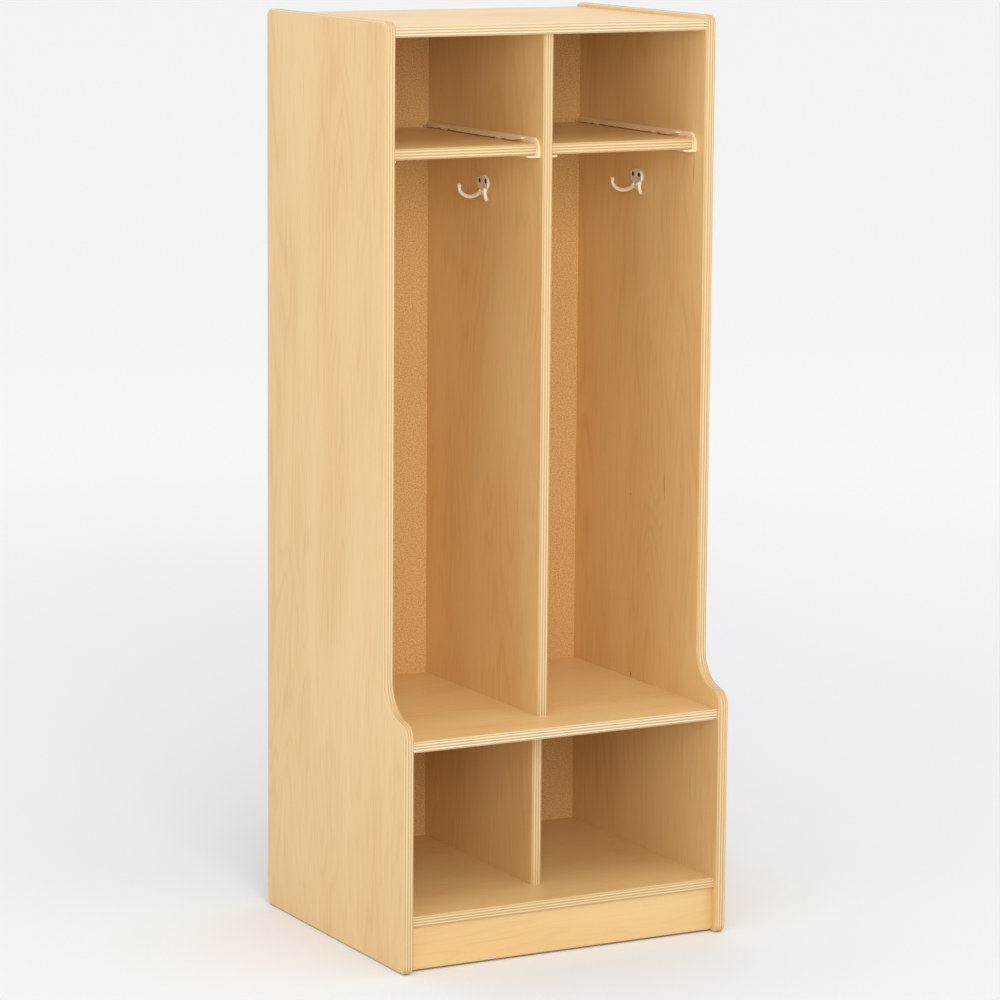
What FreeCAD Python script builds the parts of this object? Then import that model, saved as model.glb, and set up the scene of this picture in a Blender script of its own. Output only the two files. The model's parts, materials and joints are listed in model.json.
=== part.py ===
import FreeCAD, Part
import math
import os

import Sketcher

# An open coat locker for two children: plywood side panels that step out at seat height, a top,
# a seat, a bottom shelf with a kick plate, two dividers, a thin back panel, and in each bay a
# cubby shelf held by a pair of moulded rails and a double coat hook.
#
# Frame, in millimetres: the origin is on the floor under the middle of the locker, +X to the
# right, +Y to the back, +Z up. The open front looks along -Y.

DRIVING_SIZES = {
    # the carcase
    "width": 508.0,
    "depth": 432.0,
    "height": 1283.0,
    "ply": 15.0,
    "step_depth": 62.5,
    "top_drop": 6.0,
    "top_setback": 3.0,
    "seat_height": 321.0,
    "seat_setback": 7.0,
    "bottom_shelf_height": 78.0,
    "bottom_shelf_setback": 9.5,
    "kick_setback": 15.0,
    "kick_clearance": 2.0,
    "upper_divider_setback": 77.0,
    "lower_divider_setback": 91.0,
    # the S-shaped step in the front of the side panels
    "ogee_rise": 5.5,
    "ogee_hollow_radius": 50.0,
    "ogee_nose_radius": 22.0,
    "corner_radius": 11.0,
    "panel_round": 4.0,
    "board_round": 3.0,
    # the back panel and the groove it sits in
    "back_ply": 6.0,
    "back_recess": 10.5,
    "back_foot": 8.0,
    "groove_depth": 5.0,
    "groove_gap": 0.2,
    # the dowels
    "dowel_radius": 4.0,
    "dowel_length": 30.0,
    "dowel_in_face": 9.0,
    "dowel_inset": 40.0,
    "hole_gap": 0.1,
    # the cubby shelves and their rails
    "cubby_space": 150.0,
    "cubby_shelf_setback": 93.0,
    "cubby_shelf_ply": 15.0,
    "slide_gap": 0.4,
    "rail_front_setback": 86.0,
    "rail_tail": 4.0,
    "rail_web": 3.0,
    "rail_rise": 8.5,
    "rail_cheek_radius": 16.0,
    "rail_flange": 16.0,
    "rail_flange_wall": 2.6,
    "rail_flange_round": 11.0,
    "rail_strip": 9.0,
    "rail_strip_wall": 1.8,
    "rail_strip_lift": 1.4,
    "rail_finger": 12.0,
    "rail_tip": 26.0,
    "rail_tip_lead": 40.0,
    "rail_tip_rise": 3.6,
    "rail_tip_bend": 60.0,
    "rail_finger_front": 97.0,
    "rail_finger_spacing": 162.0,
    "rail_finger_ramp": 4.0,
    "rail_notch": 9.0,
    "rail_notch_depth": 1.1,
    "rail_stop": 2.0,
    # the coat hooks
    "hook_drop": 47.5,
    "hook_setback": 247.0,
    "hook_wall": 3.2,
    "hook_edge_round": 1.2,
    "hook_half_width": 16.5,
    "hook_crown": 8.5,
    "hook_tail": 21.5,
    "hook_spread": 38.0,
    "hook_reach": 19.0,
    "hook_droop": 24.2,
    "hook_tip_drop": 9.5,
    "hook_root_radius": 3.4,
    "hook_tip_radius": 2.3,
    "hook_ball_radius": 3.3,
    "hook_screw_spacing": 17.0,
    # the screws
    "screw_radius": 2.0,
    "screw_head_radius": 3.6,
    "screw_crown_radius": 2.52,
    "screw_head_height": 1.6,
    "screw_length": 13.0,
    "screw_slot_width": 0.9,
    "screw_slot_depth": 0.7,
}

# Places in the locker, as expressions on the driving sizes.
INNER = "(dims.width / 2 - dims.ply)"
FRONT = "(-dims.depth / 2)"
BACK = "(dims.depth / 2)"
UPPER_FRONT = "(-dims.depth / 2 + dims.step_depth)"
BACK_PANEL_FACE = "(dims.depth / 2 - dims.back_recess - dims.back_ply)"
TOP_UNDERSIDE = "(dims.height - dims.top_drop - dims.ply)"
SEAT_UNDERSIDE = "(dims.seat_height - dims.ply)"
BOTTOM_UNDERSIDE = "(dims.bottom_shelf_height - dims.ply)"
CUBBY_TOP = f"({TOP_UNDERSIDE} - dims.cubby_space)"
CUBBY_UNDERSIDE = f"({CUBBY_TOP} - dims.cubby_shelf_ply)"
RAIL_FOOT = f"({CUBBY_UNDERSIDE} - dims.slide_gap - dims.rail_flange_wall)"
HOOK_HEIGHT = f"({CUBBY_UNDERSIDE} - dims.hook_drop)"
DOWEL_HOLE = "dims.dowel_radius + dims.hole_gap"
SCREW_HOLE = "dims.screw_radius + dims.hole_gap"
HEAD_HOLE = "dims.screw_head_radius + dims.hole_gap"
DOWEL_IN_END = "(dims.dowel_length - dims.dowel_in_face)"

AXES = "XYZ"
# For a sketch plane: the two axes it is drawn along, the axis it faces, and which way it faces.
PLANES = {"XY_Plane": (0, 1, 2, 1), "XZ_Plane": (0, 2, 1, -1), "YZ_Plane": (1, 2, 0, 1)}
PLANE_FACING = {2: "XY_Plane", 1: "XZ_Plane", 0: "YZ_Plane"}

doc = FreeCAD.newDocument("coat_locker")
dims = doc.addObject("Spreadsheet::Sheet", "dims")
for row, (alias, number) in enumerate(DRIVING_SIZES.items(), start=1):
    dims.set(f"A{row}", alias)
    dims.set(f"B{row}", str(number))
    dims.setAlias(f"B{row}", alias)
doc.recompute()

sub_parts = []


def size(expression):
    """The number that an expression on the driving sizes comes to."""
    return float(dims.evalExpression(expression))


def minus(place, start):
    return f"({place}) - ({start})"


# --------------------------------------------------------------------------- sketches and features


def new_body(label, base):
    """A body whose own origin stands at base, three expressions in the locker's frame."""
    body = doc.addObject("PartDesign::Body", label)
    body.Label = label
    for axis, place in zip("xyz", base):
        body.setExpression(f"Placement.Base.{axis}", place)
    sub_parts.append(body)
    return body


def new_sketch(body, plane, offset="0"):
    """A sketch on one of the body's own origin planes, moved out along the plane's axis."""
    sketch = body.newObject("Sketcher::SketchObject", f"{body.Name}_sketch")
    support = next(item for item in body.Origin.OriginFeatures if item.Role == plane)
    sketch.AttachmentSupport = (support, "")
    sketch.MapMode = "FlatFace"
    facing = PLANES[plane][3]
    sketch.setExpression("AttachmentOffset.Base.z", f"{facing} * ({offset})")
    return sketch


def constrain(sketch, kind, elements, expression):
    """A constraint that holds a size; a place that is always 0 lies on the sketch's own axis."""
    if expression == "0":
        sketch_axis = {"DistanceX": -2, "DistanceY": -1}[kind]
        sketch.addConstraint(Sketcher.Constraint("PointOnObject", *elements[-2:], sketch_axis))
        return
    index = sketch.addConstraint(Sketcher.Constraint(kind, *elements, size(expression)))
    sketch.setExpression(f"Constraints[{index}]", expression)


def draw_outline(sketch, corners):
    """A closed outline of straight lines; each corner is a pair of expressions from the origin."""
    points = [FreeCAD.Vector(size(across), size(up), 0) for across, up in corners]
    following = points[1:] + points[:1]
    lines = [
        sketch.addGeometry(Part.LineSegment(point, ahead), False)
        for point, ahead in zip(points, following)
    ]
    for line, ahead in zip(lines, lines[1:] + lines[:1]):
        sketch.addConstraint(Sketcher.Constraint("Coincident", line, 2, ahead, 1))
    for line, (across, up) in zip(lines, corners):
        constrain(sketch, "DistanceX", (-1, 1, line, 1), across)
        constrain(sketch, "DistanceY", (-1, 1, line, 1), up)


def draw_rectangle(sketch, low, high):
    draw_outline(sketch, [low, (high[0], low[1]), high, (low[0], high[1])])


def draw_circle(sketch, centre, radius):
    point = FreeCAD.Vector(size(centre[0]), size(centre[1]), 0)
    circle = sketch.addGeometry(Part.Circle(point, FreeCAD.Vector(0, 0, 1), size(radius)), False)
    constrain(sketch, "Radius", (circle,), radius)
    constrain(sketch, "DistanceX", (-1, 1, circle, 3), centre[0])
    constrain(sketch, "DistanceY", (-1, 1, circle, 3), centre[1])


def pad(body, sketch, length, towards=1):
    """Pads a sketch along its plane's axis, the way that towards says."""
    feature = body.newObject("PartDesign::Pad", f"{body.Name}_pad")
    feature.Profile = sketch
    feature.setExpression("Length", length)
    plane = sketch.AttachmentSupport[0][0].Role
    feature.Reversed = PLANES[plane][3] != towards
    doc.recompute()
    return feature


LEAST_CUT = 0.1  # cubic millimetres: anything less is a pocket that misses its board
SAME_PLACE = 0.01  # millimetres: edges nearer than this to a place lie at it


def pocket(body, sketch, depth, towards):
    """Cuts a sketch into the body along its plane's axis, and makes sure that it cut."""
    before = body.Shape.Volume
    feature = body.newObject("PartDesign::Pocket", f"{body.Name}_pocket")
    feature.Profile = sketch
    feature.setExpression("Length", depth)
    plane = sketch.AttachmentSupport[0][0].Role
    feature.Reversed = PLANES[plane][3] == towards
    doc.recompute()
    if not body.Shape.Volume < before - LEAST_CUT:
        raise ValueError(f"a pocket in {body.Label} cuts nothing")
    return feature


def drill(body, axis, towards, face, centres, radius, depth):
    """Round blind holes into the face that stands at `face` along the axis."""
    sketch = new_sketch(body, PLANE_FACING[axis], face)
    for centre in centres:
        draw_circle(sketch, centre, radius)
    pocket(body, sketch, depth, towards)


def round_edges(body, radius, wanted):
    """Rounds every edge of the body for which wanted(edge) is true."""
    names = [f"Edge{i}" for i, edge in enumerate(body.Shape.Edges, start=1) if wanted(edge)]
    if not names:
        raise ValueError(f"no edge to round on {body.Label}")
    base = body.Tip
    feature = body.newObject("PartDesign::Fillet", f"{body.Name}_round")
    feature.Base = (base, names)
    feature.setExpression("Radius", radius)
    body.Tip = feature
    doc.recompute()


def lies_at(edge, **places):
    """True where the whole edge lies at the given places along X, Y or Z in the body's own frame."""
    box = edge.BoundBox
    for axis, place in places.items():
        low, high = getattr(box, axis.upper() + "Min"), getattr(box, axis.upper() + "Max")
        if abs(low - place) > SAME_PLACE or abs(high - place) > SAME_PLACE:
            return False
    return True


def own(body, edge):
    """A copy of the edge in the body's own frame."""
    moved = edge.copy()
    moved.translate(body.Placement.Base * -1)
    return moved


class Board:
    """A rectangular board, from its low corner to its high corner along X, Y and Z."""

    def __init__(self, label, low, high, plane):
        self.low = low
        self.body = new_body(label, low)
        across, up, through, _ = PLANES[plane]
        self.sizes = [minus(high[axis], low[axis]) for axis in range(3)]
        sketch = new_sketch(self.body, plane)
        draw_rectangle(sketch, ("0", "0"), (self.sizes[across], self.sizes[up]))
        pad(self.body, sketch, self.sizes[through])

    def local(self, axis, place):
        return minus(place, self.low[axis])

    def round_front(self, both=True):
        """Rounds the long edges of the board's front: the two that run along it."""
        along = 0 if size(self.sizes[0]) > size(self.sizes[2]) else 2
        across = 2 - along

        def front_edge(edge):
            moved = own(self.body, edge)
            places = {"y": 0.0}
            ends = [0.0, size(self.sizes[across])] if both else [0.0]
            return any(lies_at(moved, **places, **{AXES[across].lower(): end}) for end in ends)

        round_edges(self.body, "dims.board_round", front_edge)

    def drill_ends(self, axis, centres):
        """Dowel holes in both ends of the board along the axis; the centres are in the locker's frame."""
        across, up, _, _ = PLANES[PLANE_FACING[axis]]
        own_centres = [(self.local(across, a), self.local(up, b)) for a, b in centres]
        drill(self.body, axis, 1, "0", own_centres, DOWEL_HOLE, DOWEL_IN_END)
        drill(self.body, axis, -1, self.sizes[axis], own_centres, DOWEL_HOLE, DOWEL_IN_END)

    def drill_face(self, axis, towards, centres, radius=DOWEL_HOLE, depth="dims.dowel_in_face"):
        """Blind holes in the low face (towards 1) or the high face (towards -1) along the axis."""
        across, up, _, _ = PLANES[PLANE_FACING[axis]]
        own_centres = [(self.local(across, a), self.local(up, b)) for a, b in centres]
        face = "0" if towards == 1 else self.sizes[axis]
        drill(self.body, axis, towards, face, own_centres, radius, depth)


def spread(start, end, count):
    """Places spread evenly from one dowel's inset behind start to one inset before end."""
    first = f"({start}) + dims.dowel_inset"
    run = f"({end}) - ({start}) - 2 * dims.dowel_inset"
    return [f"{first} + ({run}) * {i} / {count - 1}" for i in range(count)]


# ------------------------------------------------------------------------------ where the joints lie

TOP_Y = f"({UPPER_FRONT} + dims.top_setback)"
SEAT_Y = f"({FRONT} + dims.seat_setback)"
BOTTOM_Y = f"({FRONT} + dims.bottom_shelf_setback)"
KICK_Y = f"({FRONT} + dims.kick_setback)"
UPPER_DIVIDER_Y = f"({FRONT} + dims.upper_divider_setback)"
LOWER_DIVIDER_Y = f"({FRONT} + dims.lower_divider_setback)"
TOP_BACK = f"({BACK} - dims.panel_round)"
KICK_MIDDLE = f"(dims.kick_clearance + ({BOTTOM_UNDERSIDE} - dims.kick_clearance) / 2)"
REAR_RAIL_Y = f"({BACK_PANEL_FACE} - dims.ply)"

# Each joint with the side panels: the middle of the board's thickness against where its dowels stand.
TOP_DOWELS = [(y, f"{TOP_UNDERSIDE} + dims.ply / 2") for y in spread(TOP_Y, BACK_PANEL_FACE, 4)]
SEAT_DOWELS = [(y, f"{SEAT_UNDERSIDE} + dims.ply / 2") for y in spread(SEAT_Y, BACK_PANEL_FACE, 4)]
BOTTOM_DOWELS = [
    (y, f"{BOTTOM_UNDERSIDE} + dims.ply / 2") for y in spread(BOTTOM_Y, BACK_PANEL_FACE, 4)
]
BASE_DOWELS = [
    (f"{y} + dims.ply / 2", f"{KICK_MIDDLE} + ({offset})")
    for y in (KICK_Y, REAR_RAIL_Y)
    for offset in ("-dims.ply", "dims.ply")
]
SIDE_JOINTS = TOP_DOWELS + SEAT_DOWELS + BOTTOM_DOWELS + BASE_DOWELS
UPPER_DIVIDER_DOWELS = [("0", y) for y in spread(UPPER_DIVIDER_Y, BACK_PANEL_FACE, 3)]
LOWER_DIVIDER_DOWELS = [
    ("0", f"{y} + dims.dowel_inset / 2") for y in spread(LOWER_DIVIDER_Y, BACK_PANEL_FACE, 3)
]

# The cubby rails' screws and the hooks' screws, as places along Y and Z on the walls.
RAIL_BACK = f"({BACK_PANEL_FACE} - dims.rail_tail)"
RAIL_Y = f"({FRONT} + dims.rail_front_setback)"
CUBBY_BACK = f"({RAIL_BACK} - dims.rail_stop - dims.slide_gap)"


def rail_screws(lift):
    """A rail's screws, behind the end of its shelf, lifted from the middle of the shelf's thickness."""
    middle = f"{CUBBY_UNDERSIDE} + dims.cubby_shelf_ply / 2 + ({lift})"
    return [(y, middle) for y in spread(RAIL_Y, RAIL_BACK, 3)]


# The two rails on the divider have their screws at different heights, so that they pass in the board.
OUTER_RAIL_SCREWS = rail_screws("0")
LEFT_FACE_SCREWS = rail_screws("dims.screw_head_radius")
RIGHT_FACE_SCREWS = rail_screws("-dims.screw_head_radius")
HOOK_Y = f"({FRONT} + dims.hook_setback)"
HOOK_SCREWS = [
    (f"{HOOK_Y} + ({half} * dims.hook_screw_spacing)", HOOK_HEIGHT) for half in (-0.5, 0.5)
]
# The rails' and the hooks' screw heads lie flush in their counterbores; the back panel's stand proud.
RAIL_PILOT_DEPTH = "(dims.screw_length + dims.screw_head_height - dims.rail_web + dims.hole_gap)"
HOOK_PILOT_DEPTH = "(dims.screw_length + dims.screw_head_height - dims.hook_wall + dims.hole_gap)"
BACK_PILOT_DEPTH = "(dims.screw_length - dims.back_ply + dims.hole_gap)"

# The screws through the back panel, as places along X and Z, by the board they hold.
BOARD_SCREW_X = [f"{share} * {INNER}" for share in (-0.75, -0.25, 0.25, 0.75)]
SEAT_SCREWS = [(x, f"{SEAT_UNDERSIDE} + dims.ply / 2") for x in BOARD_SCREW_X]
BOTTOM_SCREWS = [(x, f"{BOTTOM_UNDERSIDE} + dims.ply / 2") for x in BOARD_SCREW_X]
DIVIDER_RUN = f"({TOP_UNDERSIDE} - dims.seat_height)"
UPPER_DIVIDER_SCREWS = [
    ("0", f"dims.seat_height + {share} * {DIVIDER_RUN}") for share in (0.2, 0.5, 0.8)
]
LOWER_DIVIDER_SCREWS = [("0", f"(dims.bottom_shelf_height + {SEAT_UNDERSIDE}) / 2")]
BACK_SCREWS = SEAT_SCREWS + BOTTOM_SCREWS + UPPER_DIVIDER_SCREWS + LOWER_DIVIDER_SCREWS

# ------------------------------------------------------------------------------------ side panels


def draw_side_outline(sketch):
    """The side panel's outline: full depth up to the seat, then an S-curve back to the upper front."""
    depth, height = size("dims.depth"), size("dims.height")
    step, foot = size("dims.step_depth"), size("dims.seat_height + dims.ogee_rise")
    hollow, nose = size("dims.ogee_hollow_radius"), size("dims.ogee_nose_radius")
    turn = math.acos(1 - step / (hollow + nose))
    shoulder = foot + (hollow + nose) * math.sin(turn)

    def point(y, z):
        return FreeCAD.Vector(y, z, 0)

    def arc(centre, radius, start, end):
        circle = Part.Circle(point(*centre), FreeCAD.Vector(0, 0, 1), radius)
        return sketch.addGeometry(Part.ArcOfCircle(circle, start, end), False)

    def line(start, end):
        return sketch.addGeometry(Part.LineSegment(point(*start), point(*end)), False)

    bottom = line((0, 0), (depth, 0))
    back = line((depth, 0), (depth, height))
    top = line((depth, height), (step, height))
    upper_front = line((step, height), (step, shoulder))
    hollow_arc = arc((step - hollow, shoulder), hollow, -turn, 0)
    nose_arc = arc((nose, foot), nose, math.pi - turn, math.pi)
    lower_front = line((0, foot), (0, 0))
    outline = [(bottom, back), (back, top), (top, upper_front), (lower_front, bottom)]
    for first, second in outline:
        sketch.addConstraint(Sketcher.Constraint("Coincident", first, 2, second, 1))
    for straight, kind in (
        (bottom, "Horizontal"), (back, "Vertical"), (top, "Horizontal"),
        (upper_front, "Vertical"), (lower_front, "Vertical"),
    ):
        sketch.addConstraint(Sketcher.Constraint(kind, straight))
    for first, end, second, start in (
        (upper_front, 2, hollow_arc, 2), (hollow_arc, 1, nose_arc, 1), (nose_arc, 2, lower_front, 1),
    ):
        sketch.addConstraint(Sketcher.Constraint("Tangent", first, end, second, start))
    sketch.addConstraint(Sketcher.Constraint("Coincident", -1, 1, bottom, 1))
    constrain(sketch, "DistanceX", (bottom, 1, bottom, 2), "dims.depth")
    constrain(sketch, "DistanceY", (back, 1, back, 2), "dims.height")
    constrain(sketch, "DistanceX", (-1, 1, top, 2), "dims.step_depth")
    constrain(sketch, "DistanceY", (-1, 1, lower_front, 1), "dims.seat_height + dims.ogee_rise")
    constrain(sketch, "Radius", (hollow_arc,), "dims.ogee_hollow_radius")
    constrain(sketch, "Radius", (nose_arc,), "dims.ogee_nose_radius")


def side_panel(label, low_x, inner_face, towards):
    """One side panel; inner_face is where its inner face stands along its own X."""
    low = (low_x, FRONT, "0")
    body = new_body(label, low)
    sketch = new_sketch(body, "YZ_Plane")
    draw_side_outline(sketch)
    pad(body, sketch, "dims.ply")
    depth, height, step = (size(f"dims.{name}") for name in ("depth", "height", "step_depth"))
    corners = [(0, 0), (depth, 0), (depth, height), (step, height)]
    round_edges(
        body,
        "dims.corner_radius",
        lambda edge: any(lies_at(own(body, edge), y=y, z=z) for y, z in corners),
    )
    faces = [0.0, size("dims.ply")]
    round_edges(
        body, "dims.panel_round", lambda edge: any(lies_at(own(body, edge), x=face) for face in faces)
    )

    groove = new_sketch(body, "YZ_Plane", inner_face)
    groove_front = minus(BACK_PANEL_FACE, FRONT)
    groove_top = f"{TOP_UNDERSIDE} + dims.groove_depth"
    draw_rectangle(
        groove, (groove_front, "0"), (f"{groove_front} + dims.back_ply + dims.groove_gap", groove_top)
    )
    pocket(body, groove, "dims.groove_depth", towards)

    for places, radius, hole_depth in (
        (SIDE_JOINTS, DOWEL_HOLE, "dims.dowel_in_face"),
        (OUTER_RAIL_SCREWS, SCREW_HOLE, RAIL_PILOT_DEPTH),
    ):
        centres = [(minus(y, FRONT), z) for y, z in places]
        drill(body, 0, towards, inner_face, centres, radius, hole_depth)
    return body


left_side_panel = side_panel("left_side_panel", "-dims.width / 2", "dims.ply", -1)
right_side_panel = side_panel("right_side_panel", INNER, "0", 1)
hook_centres = [(minus(y, FRONT), z) for y, z in HOOK_SCREWS]
drill(right_side_panel, 0, 1, "0", hook_centres, SCREW_HOLE, HOOK_PILOT_DEPTH)

# ---------------------------------------------------------------------------------- the other boards

top_panel = Board(
    "top_panel",
    (f"-{INNER}", TOP_Y, TOP_UNDERSIDE),
    (INNER, TOP_BACK, f"{TOP_UNDERSIDE} + dims.ply"),
    "XY_Plane",
)
top_panel.round_front()
groove_sketch = new_sketch(top_panel.body, "XY_Plane")
groove_start = top_panel.local(1, BACK_PANEL_FACE)
draw_rectangle(
    groove_sketch,
    ("0", groove_start),
    (top_panel.sizes[0], f"{groove_start} + dims.back_ply + dims.groove_gap"),
)
pocket(top_panel.body, groove_sketch, "dims.groove_depth", 1)
top_panel.drill_ends(0, TOP_DOWELS)
top_panel.drill_face(2, 1, UPPER_DIVIDER_DOWELS)

upper_divider = Board(
    "upper_divider",
    ("-dims.ply / 2", UPPER_DIVIDER_Y, "dims.seat_height"),
    ("dims.ply / 2", BACK_PANEL_FACE, TOP_UNDERSIDE),
    "YZ_Plane",
)
upper_divider.round_front()
upper_divider.drill_ends(2, UPPER_DIVIDER_DOWELS)
upper_divider.drill_face(0, 1, LEFT_FACE_SCREWS, SCREW_HOLE, RAIL_PILOT_DEPTH)
upper_divider.drill_face(0, -1, RIGHT_FACE_SCREWS, SCREW_HOLE, RAIL_PILOT_DEPTH)
upper_divider.drill_face(0, 1, HOOK_SCREWS, SCREW_HOLE, HOOK_PILOT_DEPTH)
upper_divider.drill_face(1, -1, UPPER_DIVIDER_SCREWS, SCREW_HOLE, BACK_PILOT_DEPTH)

lower_divider = Board(
    "lower_divider",
    ("-dims.ply / 2", LOWER_DIVIDER_Y, "dims.bottom_shelf_height"),
    ("dims.ply / 2", BACK_PANEL_FACE, SEAT_UNDERSIDE),
    "YZ_Plane",
)
lower_divider.round_front()
lower_divider.drill_ends(2, LOWER_DIVIDER_DOWELS)
lower_divider.drill_face(1, -1, LOWER_DIVIDER_SCREWS, SCREW_HOLE, BACK_PILOT_DEPTH)

# The dowels of the two dividers enter the seat from above and below, at different places.
seat_shelf = Board(
    "seat_shelf",
    (f"-{INNER}", SEAT_Y, SEAT_UNDERSIDE),
    (INNER, BACK_PANEL_FACE, "dims.seat_height"),
    "XY_Plane",
)
seat_shelf.round_front()
seat_shelf.drill_ends(0, SEAT_DOWELS)
seat_shelf.drill_face(2, -1, UPPER_DIVIDER_DOWELS)
seat_shelf.drill_face(2, 1, LOWER_DIVIDER_DOWELS)
seat_shelf.drill_face(1, -1, SEAT_SCREWS, SCREW_HOLE, BACK_PILOT_DEPTH)

bottom_shelf = Board(
    "bottom_shelf",
    (f"-{INNER}", BOTTOM_Y, BOTTOM_UNDERSIDE),
    (INNER, BACK_PANEL_FACE, "dims.bottom_shelf_height"),
    "XY_Plane",
)
bottom_shelf.round_front()
bottom_shelf.drill_ends(0, BOTTOM_DOWELS)
bottom_shelf.drill_face(2, -1, LOWER_DIVIDER_DOWELS)
bottom_shelf.drill_face(1, -1, BOTTOM_SCREWS, SCREW_HOLE, BACK_PILOT_DEPTH)


def base_board(label, front):
    """A board on edge under the bottom shelf, between the side panels."""
    board = Board(
        label,
        (f"-{INNER}", front, "dims.kick_clearance"),
        (INNER, f"{front} + dims.ply", BOTTOM_UNDERSIDE),
        "XZ_Plane",
    )
    board.drill_ends(0, [(y, z) for y, z in BASE_DOWELS if y.startswith(front)])
    return board


kick_plate = base_board("kick_plate", KICK_Y)
kick_plate.round_front(both=False)
rear_base_rail = base_board("rear_base_rail", REAR_RAIL_Y)

back_panel = Board(
    "back_panel",
    (f"-{INNER} - dims.groove_depth + dims.groove_gap", BACK_PANEL_FACE, "dims.back_foot"),
    (
        f"{INNER} + dims.groove_depth - dims.groove_gap",
        f"{BACK_PANEL_FACE} + dims.back_ply",
        f"{TOP_UNDERSIDE} + dims.groove_depth - dims.groove_gap",
    ),
    "XZ_Plane",
)
back_panel.drill_face(1, -1, BACK_SCREWS, SCREW_HOLE, "dims.back_ply")

# -------------------------------------------------------------------------- cubby shelves and rails


def cubby_shelf(label, left_wall, right_wall):
    """A shelf that slides on the rails of the two walls it stands between."""
    shelf = Board(
        label,
        (
            f"{left_wall} + dims.rail_web + dims.slide_gap",
            f"{FRONT} + dims.cubby_shelf_setback",
            CUBBY_UNDERSIDE,
        ),
        (f"{right_wall} - dims.rail_web - dims.slide_gap", CUBBY_BACK, CUBBY_TOP),
        "XY_Plane",
    )
    shelf.round_front()
    return shelf


cubby_shelf("left_cubby_shelf", f"-{INNER}", "(-dims.ply / 2)")
cubby_shelf("right_cubby_shelf", "(dims.ply / 2)", INNER)

RAIL_LENGTH = f"({RAIL_BACK} - {RAIL_Y})"
STRIP_UNDERSIDE = "(dims.rail_flange_wall + dims.slide_gap + dims.cubby_shelf_ply + dims.rail_strip_lift)"
RAIL_HEIGHT = f"({STRIP_UNDERSIDE} + dims.rail_rise - dims.rail_strip_lift)"
TIP_BACK = "(dims.rail_tip_lead + dims.rail_tip)"


def strip_outline():
    """The springy strip over the shelf, seen from the side: a raised tip and two fingers that dip.

    Each finger hangs between two notches in the strip's underside, where the strip is thinner.
    """
    dip = "(dims.rail_strip_lift - dims.slide_gap)"
    under = [("dims.rail_tip_lead", "dims.rail_tip_rise"), (TIP_BACK, "0")]
    over = [("dims.rail_tip_lead", "dims.rail_tip_rise"), (TIP_BACK, "0")]
    for index in range(2):
        front = f"(dims.rail_finger_front + {index} * dims.rail_finger_spacing)"
        back = f"({front} + dims.rail_finger)"
        ramp_front, ramp_back = f"({front} - dims.rail_finger_ramp)", f"({back} + dims.rail_finger_ramp)"
        notch_front, notch_back = f"{ramp_front} - dims.rail_notch", f"{ramp_back} + dims.rail_notch"
        finger = [(front, f"-{dip}"), (back, f"-{dip}")]
        under += [(notch_front, "0"), (notch_front, "dims.rail_notch_depth")]
        under += [(ramp_front, "dims.rail_notch_depth")] + finger
        under += [(ramp_back, "dims.rail_notch_depth"), (notch_back, "dims.rail_notch_depth")]
        under += [(notch_back, "0")]
        over += [(ramp_front, "0")] + finger + [(ramp_back, "0")]
    under.append((RAIL_LENGTH, "0"))
    over.append((RAIL_LENGTH, "0"))
    underside = [(y, f"{STRIP_UNDERSIDE} + ({z})") for y, z in under]
    top = [(y, f"{STRIP_UNDERSIDE} + ({z}) + dims.rail_strip_wall") for y, z in reversed(over)]
    return underside + top


def shelf_rail(label, wall, side, screws):
    """A moulded rail screwed to a wall; side is 1 where its bay lies to the right of that wall."""
    body = new_body(label, (wall, RAIL_Y, RAIL_FOOT))
    web = [("0", "0"), (RAIL_LENGTH, "0"), (RAIL_LENGTH, RAIL_HEIGHT), ("0", RAIL_HEIGHT)]
    stop = f"({RAIL_LENGTH} - dims.rail_stop)"
    flange = [("0", "0"), (RAIL_LENGTH, "0")]
    flange += [(y, "dims.rail_flange_wall") for y in (RAIL_LENGTH, "0")]
    stop_outline = [(stop, "0"), (RAIL_LENGTH, "0")]
    stop_outline += [(y, STRIP_UNDERSIDE) for y in (RAIL_LENGTH, stop)]
    for outline, width in (
        (web, "dims.rail_web"),
        (flange, "dims.rail_flange"),
        (stop_outline, "dims.rail_strip"),
        (strip_outline(), "dims.rail_strip"),
    ):
        sketch = new_sketch(body, "YZ_Plane")
        draw_outline(sketch, outline)
        pad(body, sketch, width, side)

    height = size(RAIL_HEIGHT)
    reach = side * size("dims.rail_flange")
    round_edges(body, "dims.rail_cheek_radius", lambda edge: lies_at(own(body, edge), y=0, z=height))
    round_edges(body, "dims.rail_flange_round", lambda edge: lies_at(own(body, edge), x=reach, y=0))
    bend = size(TIP_BACK)
    round_edges(body, "dims.rail_tip_bend", lambda edge: lies_at(own(body, edge), y=bend))

    centres = [(minus(y, RAIL_Y), minus(z, RAIL_FOOT)) for y, z in screws]
    inner_face = f"{side} * dims.rail_web"
    drill(body, 0, -side, inner_face, centres, SCREW_HOLE, "dims.rail_web")
    drill(body, 0, -side, inner_face, centres, HEAD_HOLE, "dims.screw_head_height")
    return body


RAILS = {
    "left_bay_outer_rail": (f"-{INNER}", 1, OUTER_RAIL_SCREWS),
    "left_bay_inner_rail": ("(-dims.ply / 2)", -1, LEFT_FACE_SCREWS),
    "right_bay_inner_rail": ("(dims.ply / 2)", 1, RIGHT_FACE_SCREWS),
    "right_bay_outer_rail": (INNER, -1, OUTER_RAIL_SCREWS),
}
for name, (wall, side, screws) in RAILS.items():
    shelf_rail(name, wall, side, screws)

# ------------------------------------------------------------------------------------ coat hooks

# One side of the plate's pear shape: shares of its half width, and of the crown above the screws or
# the tail below them.
PLATE_ABOVE = [(0.7, 0.66), (1.0, -0.18)]
PLATE_BELOW = [(0.86, 0.4), (0.56, 0.63), (0.42, 0.86)]
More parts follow.
